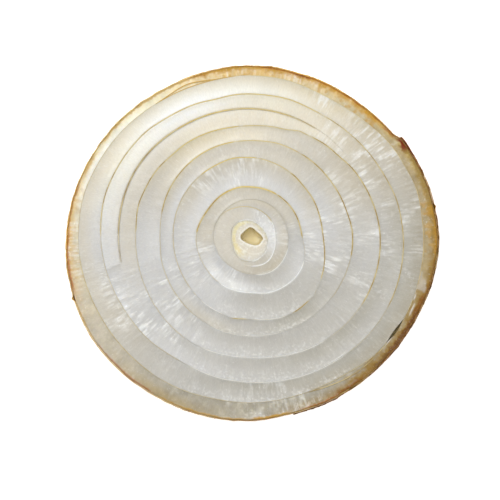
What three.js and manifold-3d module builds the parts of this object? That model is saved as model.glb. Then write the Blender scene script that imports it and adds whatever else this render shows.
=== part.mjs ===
// An onion slice: one round cut across the middle of a yellow onion, lying on its lower cut face.
// The cut leaves a torn outer skin, the golden skin under it, a leathery scale, six fleshy scales,
// a leaf rolled up like a scroll, and the hollow leaf at the heart. Each one is a ring of its own.
// Millimetres, +Z up. Every outline is drawn round the growth axis, and the slice is centred last.
import * as THREE from 'three';
import { mergeVertices } from 'three/addons/utils/BufferGeometryUtils.js';
import Module from 'manifold-3d';

const wasm = await Module();
wasm.setup();

// Driving dimensions
const sliceThickness = 9; // between the two cuts
const widestHeight = 4.2; // the bulb's equator lies inside the slice
const bulbHalfHeight = 34; // from the equator to the neck, which sets how the walls curve
const neighbourGap = 0.3; // clear space between one scale and the next
const skinThickness = 0.35; // one dry skin
const edgeBevel = 0.25; // the soft upper edge of a cut scale
const edgeShare = 0.04; // the same edge across the scale, as a share of its width
const turnSteps = 60; // facets round the slice
const outlineSteps = 12; // an outline's radii are given every 30 degrees, anticlockwise from +X
const splitWidth = 0.3; // a slot where one scale has come apart within itself
const splitStep = 5; // degrees between the points along a split

// Borders between neighbouring layers at the upper cut: distance from the growth axis.
const borders = {
  skinOutside: [39.0, 37.6, 36.5, 36.7, 37.0, 38.35, 39.85, 40.55, 39.85, 39.3, 38.0, 38.25],
  leatheryInside: [36.7, 35.8, 34.0, 34.6, 35.0, 36.4, 37.3, 36.7, 36.2, 35.5, 35.4, 36.8],
  scale1Inside: [32.35, 31.0, 30.15, 30.65, 31.2, 32.45, 32.5, 31.55, 30.75, 31.2, 31.95, 32.7],
  scale2Inside: [27.4, 26.2, 24.9, 23.85, 24.45, 25.1, 25.0, 25.45, 26.1, 25.9, 26.95, 27.6],
  scale3Inside: [21.5, 20.7, 20.65, 20.65, 20.9, 20.5, 19.8, 20.35, 20.95, 21.25, 21.4, 21.45],
  scale4Inside: [15.2, 15.3, 16.05, 17.0, 17.25, 17.2, 17.0, 17.1, 17.6, 17.7, 18.45, 17.1],
  scale5Inside: [10.7, 10.45, 10.5, 10.7, 11.1, 11.2, 12.05, 12.0, 12.15, 12.0, 12.6, 12.4],
  scale6Inside: [7.7, 7.6, 7.85, 8.05, 8.2, 8.3, 8.35, 8.1, 7.9, 8.05, 8.45, 8.15],
  scrollInside: [3.3, 2.95, 2.95, 3.45, 4.1, 4.65, 4.5, 4.75, 5.4, 5.25, 4.5, 3.85],
  hollow: [2.06, 1.57, 1.51, 1.93, 2.02, 2.14, 2.53, 1.97, 1.65, 1.68, 2.02, 2.16],
};

// Splits inside a layer: from one angle to another in degrees, with a radius every 30 degrees between.
const splits = {
  scale2: { from: 42, to: 190, firstKnot: 30, radii: [26.6, 26.9, 27.5, 28.05, 28.85, 28.7, 28.5] },
  scroll: {
    from: 252,
    to: 516,
    firstKnot: 240,
    radii: [6.2, 6.3, 6.25, 5.45, 4.9, 5.15, 5.65, 6.3, 7.25, 8.35, 9.2],
  },
};
const tornSkin = { from: -77, to: 34, foot: 0.5 }; // how far round it still clings, and its lower edge
const goldenSkinFoot = 0.2; // the skin's lower edge has drawn up a little from the cut

// The heart leaf's hollow: how deep it goes, and its rounded floor as shares of its width at the mouth.
const heart = { depth: 3.6, waist: 0.84, waistRise: 1.1, floor: 0.52, floorRise: 0.35 };

// Height of each layer above the surface that the slice lies on: the middle stands a little proud.
const topOf = {
  torn_brown_skin: 8.5,
  golden_skin: 8.8,
  leathery_scale: 8.75,
  fleshy_scale_1: 8.85,
  fleshy_scale_2: 8.9,
  fleshy_scale_3: 8.9,
  fleshy_scale_4: 8.95,
  fleshy_scale_5: 8.95,
  fleshy_scale_6: 9.0,
  scroll_leaf: 8.95,
  heart_leaf: 8.9,
};

const finishes = {
  tornSkin: { color: 0x7a3a17, roughness: 0.55, metalness: 0 },
  goldenSkin: { color: 0xb9742a, roughness: 0.5, metalness: 0 },
  leathery: { color: 0xd6c193, roughness: 0.42, metalness: 0 },
  flesh: { color: 0xe3e0d4, roughness: 0.3, metalness: 0 },
  heart: { color: 0xe6dfb4, roughness: 0.35, metalness: 0 },
};

// A smooth curve between the middle two of four evenly spaced values, with t from 0 to 1.
function throughFour(before, start, end, after, t) {
  const slopeIn = (end - before) / 2;
  const slopeOut = (after - start) / 2;
  const cube = 2 * (start - end) + slopeIn + slopeOut;
  const square = 3 * (end - start) - 2 * slopeIn - slopeOut;
  return ((cube * t + square) * t + slopeIn) * t + start;
}

// The radius of a closed outline at an angle in radians.
function radiusOf(outline, angle) {
  const turns = angle / (2 * Math.PI) + 1;
  const place = (turns * outlineSteps) % outlineSteps;
  const i = Math.floor(place);
  const at = (step) => outline[(i + step + outlineSteps) % outlineSteps];
  return throughFour(at(-1), at(0), at(1), at(2), place - i);
}

// The radius of a split at an angle in degrees, its first and last values held past its ends.
function splitRadius({ firstKnot, radii }, degrees) {
  const place = (degrees - firstKnot) / (360 / outlineSteps);
  const i = Math.floor(place);
  const at = (step) => radii[THREE.MathUtils.clamp(i + step, 0, radii.length - 1)];
  return throughFour(at(-1), at(0), at(1), at(2), place - i);
}

// How far the bulb's wall stands out at a height, against where it is at the upper cut.
function bulge(height) {
  const girth = (z) => Math.sqrt(1 - ((z - widestHeight) / bulbHalfHeight) ** 2);
  return girth(height) / girth(sliceThickness);
}

// Bends a turned ring onto its walls: radius 1 on the turned profile is the inner wall, and 2 the outer.
function bendOntoWalls(geometry, innerAt, outerAt) {
  geometry.rotateX(Math.PI / 2);
  geometry.deleteAttribute('normal');
  geometry.deleteAttribute('uv');
  const p = geometry.getAttribute('position');
  for (let i = 0; i < p.count; i++) {
    const reach = Math.hypot(p.getX(i), p.getY(i));
    const angle = reach > 0 ? Math.atan2(p.getY(i), p.getX(i)) : 0;
    const inner = innerAt(angle);
    const across = reach < 1 ? reach * inner : inner + (reach - 1) * (outerAt(angle) - inner);
    const radius = across * bulge(p.getZ(i));
    p.setXY(i, radius * Math.cos(angle), radius * Math.sin(angle));
  }
  return mergeVertices(geometry);
}

// A layer that goes all the way round: a closed profile turned about the axis and bent onto its walls.
function ringLayer(top, bottom, innerAt, outerAt) {
  const profile = [
    [1, bottom],
    [2, bottom],
    [2, widestHeight],
    [2, top - edgeBevel],
    [2 - edgeShare, top],
    [1 + edgeShare, top],
    [1, top - edgeBevel],
    [1, widestHeight],
    [1, bottom],
  ].map(([x, y]) => new THREE.Vector2(x, y));
  return bendOntoWalls(new THREE.LatheGeometry(profile, turnSteps), innerAt, outerAt);
}

// The heart leaf: solid below, with a rounded hollow that opens at the upper cut.
function heartLayer(top, outerAt) {
  const floor = top - heart.depth;
  const profile = [
    [0, 0],
    [2, 0],
    [2, widestHeight],
    [2, top - edgeBevel],
    [2 - 2 * edgeShare, top],
    [1 + 2 * edgeShare, top],
    [1, top - edgeBevel],
    [heart.waist, floor + heart.waistRise],
    [heart.floor, floor + heart.floorRise],
    [0, floor],
  ].map(([x, y]) => new THREE.Vector2(x, y));
  const hollowAt = (angle) => radiusOf(borders.hollow, angle);
  return bendOntoWalls(new THREE.LatheGeometry(profile, turnSteps), hollowAt, outerAt);
}

function solidOf(geometry) {
  const merged = mergeVertices(geometry, 1e-4);
  return new wasm.Manifold(
    new wasm.Mesh({
      numProp: 3,
      vertProperties: merged.getAttribute('position').array,
      triVerts: new Uint32Array(merged.index.array),
    }),
  );
}

function geometryOf(solid) {
  const mesh = solid.getMesh();
  return new THREE.BufferGeometry()
    .setAttribute('position', new THREE.BufferAttribute(mesh.vertProperties, 3))
    .setIndex(new THREE.BufferAttribute(mesh.triVerts, 1));
}

// A flat outline carried straight up, past both faces of the slice, to cut a layer with.
function cutter(points) {
  const depth = sliceThickness * 2;
  const geometry = new THREE.ExtrudeGeometry(new THREE.Shape(points), { depth, bevelEnabled: false });
  geometry.translate(0, 0, (sliceThickness - depth) / 2);
  geometry.deleteAttribute('normal');
  geometry.deleteAttribute('uv');
  return solidOf(geometry);
}

function polar(radius, degrees) {
  const angle = THREE.MathUtils.degToRad(degrees);
  return new THREE.Vector2(radius * Math.cos(angle), radius * Math.sin(angle));
}

// The narrow slot of a split, out along one side and back along the other.
function splitCutter(split) {
  const steps = Math.round((split.to - split.from) / splitStep);
  const side = (offset) =>
    Array.from({ length: steps + 1 }, (_, i) => {
      const degrees = split.from + ((split.to - split.from) * i) / steps;
      return polar(splitRadius(split, degrees) + offset, degrees);
    });
  return cutter([...side(splitWidth / 2), ...side(-splitWidth / 2).reverse()]);
}

// A wedge from the axis out past the skin, to keep only part of the way round.
function wedgeCutter({ from, to }) {
  const reach = 2 * borders.skinOutside[0];
  const steps = 6;
  const rim = Array.from({ length: steps + 1 }, (_, i) => polar(reach, from + ((to - from) * i) / steps));
  return cutter([new THREE.Vector2(0, 0), ...rim]);
}

// The walls of each layer keep half the gap to the border on either side.
const insideWall = (border) => (angle) => radiusOf(borders[border], angle) + neighbourGap / 2;
const outsideWall = (border) => (angle) => radiusOf(borders[border], angle) - neighbourGap / 2;
const skinWall = (standOff) => (angle) => radiusOf(borders.skinOutside, angle) + standOff;

function tornSkinLayer() {
  const inner = skinWall(neighbourGap);
  const outer = skinWall(neighbourGap + skinThickness);
  const wholeSkin = ringLayer(topOf.torn_brown_skin, tornSkin.foot, inner, outer);
  return geometryOf(solidOf(wholeSkin).intersect(wedgeCutter(tornSkin)));
}

function goldenSkinLayer() {
  return ringLayer(topOf.golden_skin, goldenSkinFoot, skinWall(-skinThickness), skinWall(0));
}

function leatheryLayer() {
  const outer = skinWall(-skinThickness - neighbourGap);
  return ringLayer(topOf.leathery_scale, 0, insideWall('leatheryInside'), outer);
}

function fleshyLayer(number, outerBorder) {
  const inner = insideWall(`scale${number}Inside`);
  return ringLayer(topOf[`fleshy_scale_${number}`], 0, inner, outsideWall(outerBorder));
}

function scrollLayer() {
  const whole = ringLayer(topOf.scroll_leaf, 0, insideWall('scrollInside'), outsideWall('scale6Inside'));
  return splitLayer(whole, splits.scroll);
}

function splitLayer(layer, split) {
  return geometryOf(solidOf(layer).subtract(splitCutter(split)));
}

const slice = new THREE.Group();

function addLayer(name, geometry, finish) {
  const mesh = new THREE.Mesh(geometry, new THREE.MeshStandardMaterial(finish));
  mesh.name = name;
  slice.add(mesh);
}

addLayer('torn_brown_skin', tornSkinLayer(), finishes.tornSkin);
addLayer('golden_skin', goldenSkinLayer(), finishes.goldenSkin);
addLayer('leathery_scale', leatheryLayer(), finishes.leathery);
addLayer('fleshy_scale_1', fleshyLayer(1, 'leatheryInside'), finishes.flesh);
addLayer('fleshy_scale_2', splitLayer(fleshyLayer(2, 'scale1Inside'), splits.scale2), finishes.flesh);
addLayer('fleshy_scale_3', fleshyLayer(3, 'scale2Inside'), finishes.flesh);
addLayer('fleshy_scale_4', fleshyLayer(4, 'scale3Inside'), finishes.flesh);
addLayer('fleshy_scale_5', fleshyLayer(5, 'scale4Inside'), finishes.flesh);
addLayer('fleshy_scale_6', fleshyLayer(6, 'scale5Inside'), finishes.flesh);
addLayer('scroll_leaf', scrollLayer(), finishes.flesh);
addLayer('heart_leaf', heartLayer(topOf.heart_leaf, outsideWall('scrollInside')), finishes.heart);

// The origin is under the middle of the slice, on the surface that it lies on.
const middle = new THREE.Box3().setFromObject(slice).getCenter(new THREE.Vector3());
slice.position.set(-middle.x, -middle.y, 0);

export default slice;
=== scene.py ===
import math

import bpy
import numpy as np
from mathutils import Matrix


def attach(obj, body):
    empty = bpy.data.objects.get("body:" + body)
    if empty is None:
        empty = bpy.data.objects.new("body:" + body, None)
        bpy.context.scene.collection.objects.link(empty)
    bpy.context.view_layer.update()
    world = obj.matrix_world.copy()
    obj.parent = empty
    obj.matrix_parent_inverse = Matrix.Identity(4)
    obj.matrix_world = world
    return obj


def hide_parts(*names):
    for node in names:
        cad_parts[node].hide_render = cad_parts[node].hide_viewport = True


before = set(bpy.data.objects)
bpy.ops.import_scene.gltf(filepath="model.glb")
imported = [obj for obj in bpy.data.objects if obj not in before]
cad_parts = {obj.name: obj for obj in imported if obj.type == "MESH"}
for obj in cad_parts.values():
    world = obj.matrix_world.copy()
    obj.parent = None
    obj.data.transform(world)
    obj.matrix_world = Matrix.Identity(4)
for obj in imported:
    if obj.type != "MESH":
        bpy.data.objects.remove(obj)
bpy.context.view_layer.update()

# An onion slice, lying on its lower cut face, built ring by ring round the bulb's growth axis.
# Lengths are in millimetres until a mesh is made, and angles run anticlockwise from +X, in degrees.

mm = 0.001
fullTurn = 2 * math.pi

bulb = {
    "facets": 60,  # corners round each ring of the frame
    "widestHeight": 4.2,  # every ring of the frame has a row of corners at this height
    "halfHeight": 34.0,  # from the widest height up to the neck
    "gap": 0.3,  # between one ring of the frame and the next
    "mouthHeight": 8.65,  # where the heart leaf's hollow opens
    "hollowFloor": 5.3,  # its deepest point, which is on the growth axis
    "levelReach": 0.02,  # a corner this near a height lies at it
    "facetReach": 0.01,  # and one this near a facet's angle, as a share of the facet, lies on it
}


def pointsOf(name):
    # the corners of a node of the frame, in millimetres
    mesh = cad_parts[name].data
    flat = np.empty(len(mesh.vertices) * 3)
    mesh.vertices.foreach_get("co", flat)
    return flat.reshape(-1, 3) / mm


def findAxis():
    # the heart leaf's hollow is deepest on the growth axis
    points = pointsOf("heart_leaf")
    return points[np.abs(points[:, 2] - bulb["hollowFloor"]).argmin(), :2]


axisX, axisY = findAxis()


def wallsOf(name, height):
    # the nearest and the farthest corner from the axis at each facet's angle, at one height
    points = pointsOf(name)
    level = points[np.abs(points[:, 2] - height) < bulb["levelReach"]]
    x = level[:, 0] - axisX
    y = level[:, 1] - axisY
    place = np.arctan2(y, x) / fullTurn * bulb["facets"]
    onFacet = np.abs(place - np.rint(place)) < bulb["facetReach"]
    index = np.rint(place[onFacet]).astype(int) % bulb["facets"]
    reach = np.hypot(x, y)[onFacet]
    inner = np.full(bulb["facets"], np.inf)
    outer = np.zeros(bulb["facets"])
    np.minimum.at(inner, index, reach)
    np.maximum.at(outer, index, reach)
    return inner, outer


def cubic(before, start, end, after, t):
    # a smooth curve from start to end as t goes from 0 to 1; its slope at each end is half the
    # difference between the values on either side
    slopeIn = (end - before) / 2
    slopeOut = (after - start) / 2
    cube = 2 * (start - end) + slopeIn + slopeOut
    square = 3 * (end - start) - 2 * slopeIn - slopeOut
    return ((cube * t + square) * t + slopeIn) * t + start


def around(values, theta):
    # a smooth closed curve through evenly spaced values: a cubic through the four nearest
    values = np.asarray(values, float)
    count = len(values)
    place = (np.asarray(theta) / fullTurn * count) % count
    i = np.floor(place).astype(int)
    t = place - i
    t = t[..., None] if values.ndim > 1 else t
    return cubic(*(values[(i + k) % count] for k in (-1, 0, 1, 2)), t)


def girth(height):
    # the bulb is round in side view: how wide it is at a height, as a share of its widest
    return np.sqrt(1 - ((height - bulb["widestHeight"]) / bulb["halfHeight"]) ** 2)


scaleNames = ["leathery_scale"] + [f"fleshy_scale_{k}" for k in range(1, 7)]
borderRadii = [wallsOf(name, bulb["widestHeight"])[0] - bulb["gap"] / 2 for name in scaleNames]
borderRadii.append(wallsOf("heart_leaf", bulb["widestHeight"])[1] + bulb["gap"] / 2)
hollowRadii = wallsOf("heart_leaf", bulb["mouthHeight"])[0] / girth(bulb["mouthHeight"])
skinRadii = wallsOf("golden_skin", bulb["widestHeight"])[1]

# small corners in the borders that the frame's smoother outlines leave out: angle, spread, shift
kinks = {
    0: [(15, 6, 0.3), (45, 8, -0.15), (75, 8, 0.2), (105, 8, -0.12), (165, 8, 0.2), (255, 8, -0.15),
        (315, 8, 0.25)],
    1: [(15, 7, 0.18), (75, 7, 0.2), (105, 6, -0.32), (135, 7, 0.18), (165, 8, 0.2), (225, 8, 0.2),
        (255, 8, 0.18)],
    2: [(43, 6, -0.25), (74, 5, -0.22), (66, 3, 0.2), (135, 7, -0.22), (165, 7, 0.28)],
    3: [(15, 7, -0.15), (75, 7, 0.14), (195, 7, 0.13), (255, 7, 0.12)],
    4: [(45, 8, -0.15), (105, 7, 0.18), (255, 6, 0.32), (316, 5, 0.34), (326, 3, 0.2)],
    5: [(105, 8, 0.12), (285, 8, 0.14), (345, 8, 0.12)],
}


def bump(theta, degrees, spread):
    # 1 at one angle, falling smoothly to nothing about twice the spread away
    away = (np.degrees(theta) - degrees + 180) % 360 - 180
    return np.exp(-((away / spread) ** 2))


def border(k, theta):
    # the radius of the k-th border at the widest height: 0 is under the leathery scale and 7 is
    # round the heart; it is the smooth curve through the frame's corners, with the kinks added
    radius = around(borderRadii[k], theta)
    for degrees, spread, shift in kinks.get(k, []):
        radius = radius + shift * bump(theta, degrees, spread)
    return radius


def drift(seed, u, v, wrap):
    # smooth random values from 0 to 1: seeded numbers at whole steps of u and v, eased in between;
    # u repeats after wrap steps
    rows = int(np.ceil(np.max(v) - np.min(v))) + 3
    table = np.random.default_rng(seed).random((wrap, rows))
    v = v - np.floor(np.min(v))
    i = np.floor(u).astype(int)
    j = np.floor(v).astype(int)
    s = u - i
    t = v - j
    s = s * s * (3 - 2 * s)
    t = t * t * (3 - 2 * t)
    low = table[i % wrap, j] * (1 - s) + table[(i + 1) % wrap, j] * s
    high = table[i % wrap, j + 1] * (1 - s) + table[(i + 1) % wrap, j + 1] * s
    return low * (1 - t) + high * t


def patches(seed, theta, radius, size, meanRadius):
    # random patches about as wide and as long as size
    wrap = max(3, round(fullTurn * meanRadius / size))
    return drift(seed, theta / fullTurn * wrap, radius / size, wrap)


def fibres(seed, theta, radius, width, length, meanRadius):
    # random streaks that run straight out from the axis
    wrap = max(3, round(fullTurn * meanRadius / width))
    return drift(seed, theta / fullTurn * wrap, radius / length, wrap)


def ease(low, high, x):
    # 0 up to low, 1 from high on, and a smooth step between: 3t squared less 2t cubed
    t = np.clip((x - low) / (high - low), 0, 1)
    return t * t * (3 - 2 * t)


def spans(theta, listed, soft=4):
    # how strongly each angle lies in the listed spans: from, to and strength, with soft ends
    degrees = np.degrees(theta)
    total = np.zeros_like(degrees)
    for start, end, strength in listed:
        along = (degrees - start) % 360
        length = (end - start) % 360 or 360
        inside = ease(0, soft, along) * ease(0, soft, length - along)
        total = np.maximum(total, np.where(along <= length, inside, 0) * strength)
    return total


def linear(colour):
    # a screen colour of three numbers up to 255, as light
    c = np.asarray(colour, float) / 255
    return np.where(c <= 0.04045, c / 12.92, ((c + 0.055) / 1.055) ** 2.4)


def mix(a, b, amount):
    # a at amount 0 and b at 1, in a straight line between
    amount = np.asarray(amount)[..., None]
    return a * (1 - amount) + b * amount


screenTones = {
    "white": (250, 250, 246),
    "snow": (246, 244, 232),
    "ivory": (238, 233, 216),
    "cream": (230, 222, 202),
    "butter": (222, 211, 182),
    "pearl": (213, 212, 209),
    "oyster": (212, 206, 192),
    "mist": (206, 205, 202),
    "linen": (204, 198, 184),
    "oat": (197, 188, 168),
    "dove": (199, 197, 191),
    "ash": (192, 189, 181),
    "clay": (184, 180, 168),
    "stone": (174, 167, 150),
    "wax": (240, 228, 190),
    "sand": (214, 196, 154),
    "fawn": (176, 158, 120),
    "honey": (222, 188, 122),
    "amber": (214, 196, 142),
    "straw": (190, 166, 98),
    "tan": (152, 122, 58),
    "gold": (196, 148, 48),
    "umber": (132, 84, 18),
    "rust": (170, 96, 12),
    "bark": (84, 48, 12),
    "olive": (98, 80, 34),
    "crimson": (124, 44, 8),
    "khaki": (226, 212, 166),
    "corn": (230, 204, 116),
    "lemon": (236, 224, 174),
}
tones = {name: linear(colour) for name, colour in screenTones.items()}


def toneRing(names, theta):
    # the named tones at even steps round the ring, blended along a smooth curve
    return np.clip(around(np.array([tones[name] for name in names.split()]), theta), 0, 1)


def addPiece(name, points, faces, material, stoodFor, fields):
    # a mesh from points and faces, set on the growth axis, with its fields as point attributes; it
    # rides on the body and stands for the named nodes
    mesh = bpy.data.meshes.new(name)
    corners = np.concatenate([f.reshape(-1) for f in faces]).astype(np.int32)
    sizes = np.concatenate([np.full(len(f), f.shape[1]) for f in faces])
    starts = np.concatenate([[0], np.cumsum(sizes)[:-1]]).astype(np.int32)
    mesh.vertices.add(len(points))
    mesh.loops.add(len(corners))
    mesh.polygons.add(len(sizes))
    place = (points + np.array([axisX, axisY, 0])) * mm
    mesh.vertices.foreach_set("co", place.astype(np.float32).reshape(-1))
    mesh.loops.foreach_set("vertex_index", corners)
    mesh.polygons.foreach_set("loop_start", starts)
    mesh.polygons.foreach_set("use_smooth", np.ones(len(sizes), bool))
    mesh.update(calc_edges=True)
    for key, values in fields.items():
        if values.ndim == 1:
            layer = mesh.attributes.new(key, "FLOAT", "POINT")
            layer.data.foreach_set("value", values.astype(np.float32))
        elif key == "tint":
            layer = mesh.attributes.new(key, "FLOAT_COLOR", "POINT")
            rgba = np.concatenate([np.clip(values, 0, 1), np.ones((len(values), 1))], 1)
            layer.data.foreach_set("color", rgba.astype(np.float32).reshape(-1))
        else:
            layer = mesh.attributes.new(key, "FLOAT_VECTOR", "POINT")
            layer.data.foreach_set("vector", values.astype(np.float32).reshape(-1))
    mesh.materials.append(material)
    piece = bpy.data.objects.new(name, mesh)
    bpy.context.scene.collection.objects.link(piece)
    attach(piece, "root")
    if stoodFor:
        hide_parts(*stoodFor)


def sheetFaces(columns, rows, closeRows=True):
    # four-sided faces over a grid that wraps round the axis, and round its section too if closed
    i, j = np.meshgrid(np.arange(columns), np.arange(rows if closeRows else rows - 1), indexing="ij")

    def corner(a, b):
        # the point's number: its column times the rows in a column, plus its row, both wrapped round
        return (a % columns) * rows + (b % rows)

    quads = [corner(i, j), corner(i, j + 1), corner(i + 1, j + 1), corner(i + 1, j)]
    return np.stack(quads, -1).reshape(-1, 4)


def polarPoints(theta, radius, height):
    # angle, radius and height as x, y and z
    return np.stack([radius * np.cos(theta), radius * np.sin(theta), height], -1)


def polarField(theta, radius, meanRadius):
    # where a point is for patterns that follow the fibres: its place round the ring on a circle of the
    # mean radius, as x and y, and the way outwards as z
    return np.stack([meanRadius * np.cos(theta), meanRadius * np.sin(theta), radius], -1)


def sectionRows(topRows, wallRows, bottomRows, edgeRows, grooved):
    # Each row is seven numbers. Its distance out from the inner wall is
    #   a0 * width + a1 * edge + a2 * (path * width) + a3 * grooveHalf
    # and its height is between the bottom and the top by z0, plus z1 * edge. The last number is 1 on the
    # upper cut, 0 on a wall and -1 on the lower cut.
    # The rows go out over the top, down the outer wall, in under the bottom and up the inner wall.
    quarter = np.linspace(0, math.pi / 2, edgeRows + 1)
    rise = 1 - np.sin(quarter)
    run = 1 - np.cos(quarter)
    zero = np.zeros

    def band(f):
        # rows across a face that has no groove: from one edge's curve to the other's
        if not grooved:
            return [np.stack([f, 1 - 2 * f, 0 * f, 0 * f], -1)]
        half = f[:: 2] if len(f) % 2 else np.append(f[:: 2], 1.0)
        inner = np.stack([0 * half, 1 - half, half, -half], -1)
        floor = np.array([[0, 0, 1, k] for k in (-0.9, -0.55, 0, 0.55, 0.9)], float)
        outer = np.stack([half, -half, 1 - half, 1 - half], -1)
        return [inner, floor, outer]

    topFace = np.concatenate(band(np.linspace(0, 1, topRows)))
    bottomFace = np.concatenate(band(np.linspace(0, 1, bottomRows)))[::-1]
    pieces = []

    def add(across, z0, z1, face):
        # rows of seven numbers: the four across, the two for the height, and the face
        count = len(across)
        pieces.append(np.column_stack([across, zero(count) + z0, zero(count) + z1, zero(count) + face]))

    inEdge = np.stack([zero(edgeRows), run[:-1], zero(edgeRows), zero(edgeRows)], -1)
    outEdge = np.stack([zero(edgeRows) + 1, -run[:-1], zero(edgeRows), zero(edgeRows)], -1)
    share = np.linspace(0, 1, wallRows + 2)[1:-1]
    wall = np.zeros((wallRows, 4))
    outWall = wall + np.array([1.0, 0, 0, 0])
    add(inEdge, 1, -rise[:-1], 1)
    add(topFace, 1, 0, 1)
    add(outEdge[::-1], 1, -rise[:-1][::-1], 1)
    add(outWall, 1 - share, -1 + 2 * share, 0)
    add(outEdge, 0, rise[:-1], -1)
    add(bottomFace, 0, 0, -1)
    add(inEdge[::-1], 0, rise[:-1][::-1], -1)
    add(wall, share, 1 - 2 * share, 0)
    return np.concatenate(pieces)


def ringGrid(ring, wallsAt, pathAt=None, depthAt=None):
    # The ring's grid: its inner and outer walls are curves round the axis, and its section is the
    # rows above. A path across the ring, from 0 at the inner wall to 1 at the outer, makes a groove.
    columns = int(fullTurn * ring["meanRadius"] / ring["cell"] / 4) * 4
    theta = (np.arange(columns) / columns * fullTurn)[:, None]
    rows = sectionRows(ring["topRows"], ring["wallRows"], ring["bottomRows"], 3, pathAt is not None)
    inner, outer = wallsAt(theta)
    width = outer - inner
    a0, a1, a2, a3, z0, z1, face = rows.T
    path = pathAt(theta) if pathAt else np.zeros_like(theta)
    out = a0 * width + a1 * ring["edge"] + a2 * path * width + a3 * ring.get("grooveHalf", 0)
    share = out / width
    theta = np.broadcast_to(theta, out.shape)
    height = ring["bottom"] + (ring["top"] - ring["bottom"]) * z0 + z1 * ring["edge"]
    height = np.broadcast_to(height, out.shape)
    groove = np.zeros_like(out)
    if pathAt:
        off = np.abs(out - path * width) / ring["grooveHalf"]
        groove = np.clip(1 - off, 0, 1) ** 0.5 * depthAt(theta)
    return {
        "theta": theta, "share": share, "out": out, "width": width, "face": face,
        "height": height, "groove": groove, "radius": inner + out, "path": path,
    }


def edgeFade(grid, reach):
    # 0 at both walls, 1 once further in than reach: relief fades out towards the ring's edges
    nearest = np.minimum(grid["out"], grid["width"] - grid["out"])
    return ease(0, reach, nearest)


def newTree(name):
    # an empty material and its nodes
    material = bpy.data.materials.new(name)
    material.use_nodes = True
    tree = material.node_tree
    tree.nodes.clear()
    return material, tree


def addNode(tree, kind, settings=None, inputs=None):
    # a node with its settings; each input is either a link or a constant on its socket
    made = tree.nodes.new(kind)
    for key, value in (settings or {}).items():
        setattr(made, key, value)
    for key, value in (inputs or {}).items():
        if isinstance(value, bpy.types.NodeSocket):
            tree.links.new(value, made.inputs[key])
        else:
            made.inputs[key].default_value = value
    return made


def readField(tree, name, output="Fac"):
    # one of the piece's own attributes
    return addNode(tree, "ShaderNodeAttribute", {"attribute_name": name}).outputs[output]


def combine(tree, operation, a, b, clamp=False):
    # the sum, difference or product of two values, held between 0 and 1 if clamped
    settings = {"operation": operation, "use_clamp": clamp}
    return addNode(tree, "ShaderNodeMath", settings, {0: a, 1: b}).outputs[0]


def remap(tree, value, fromLow, fromHigh, toLow, toHigh):
    # a value carried in a straight line from one range to another, and held at its ends
    sizes = {"Value": value, "From Min": fromLow, "From Max": fromHigh, "To Min": toLow, "To Max": toHigh}
    return addNode(tree, "ShaderNodeMapRange", None, sizes).outputs[0]


def blendColour(tree, a, b, amount):
    # colour a at amount 0 and colour b at 1; sockets 6 and 7 are the node's two colours
    sizes = {0: amount, 6: a, 7: b}
    return addNode(tree, "ShaderNodeMix", {"data_type": "RGBA"}, sizes).outputs[2]


def noise(tree, vector, scale, stretch=(1, 1, 1), detail=3.0, rough=0.55):
    # fractal noise from about 0 to 1, drawn out along any axis whose stretch is below 1
    place = {"Vector": vector, "Scale": stretch}
    mapped = addNode(tree, "ShaderNodeMapping", {"vector_type": "POINT"}, place)
    sizes = {"Vector": mapped.outputs[0], "Scale": scale, "Detail": detail, "Roughness": rough}
    return addNode(tree, "ShaderNodeTexNoise", None, sizes).outputs["Fac"]


def bumped(tree, height, strength, distance):
    # the surface's normal, tilted as if height stood up by as much as distance
    sizes = {"Height": height, "Strength": strength, "Distance": distance}
    return addNode(tree, "ShaderNodeBump", None, sizes).outputs[0]


def closeTree(tree, colour, roughness, normal, constants):
    # the shader that ends the tree, with its constants straight on its sockets
    sizes = {"Base Color": colour, "Roughness": roughness, "Normal": normal}
    sizes.update(constants)
    shader = addNode(tree, "ShaderNodeBsdfPrincipled", None, sizes)
    out = addNode(tree, "ShaderNodeOutputMaterial")
    tree.links.new(shader.outputs[0], out.inputs[0])


fleshLook = {
    "fibreWidth": 1.9,  # streaks per millimetre round the ring
    "fibreStretch": 0.16,  # the noise's scale along them: the smaller, the longer they are
    "fibreWhiteAndGlint": 0.42,
    "body": 0.875,  # how much of the tint's lightness is kept
    # the bright specks are painted glints
    "sparkSize": 3.6,  # bright specks per millimetre
    "cellSize": 3.2,  # cells per millimetre
    "roughness": (0.26, 0.5),
    "subsurface": 0.35,
    "subsurfaceRadius": (1.0, 0.86, 0.62),
    "subsurfaceScale": 0.0014,
    "specular": 0.5,
    "coat": 0.25,
    "coatRoughness": 0.16,
    "bump": 0.35,
}


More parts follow.
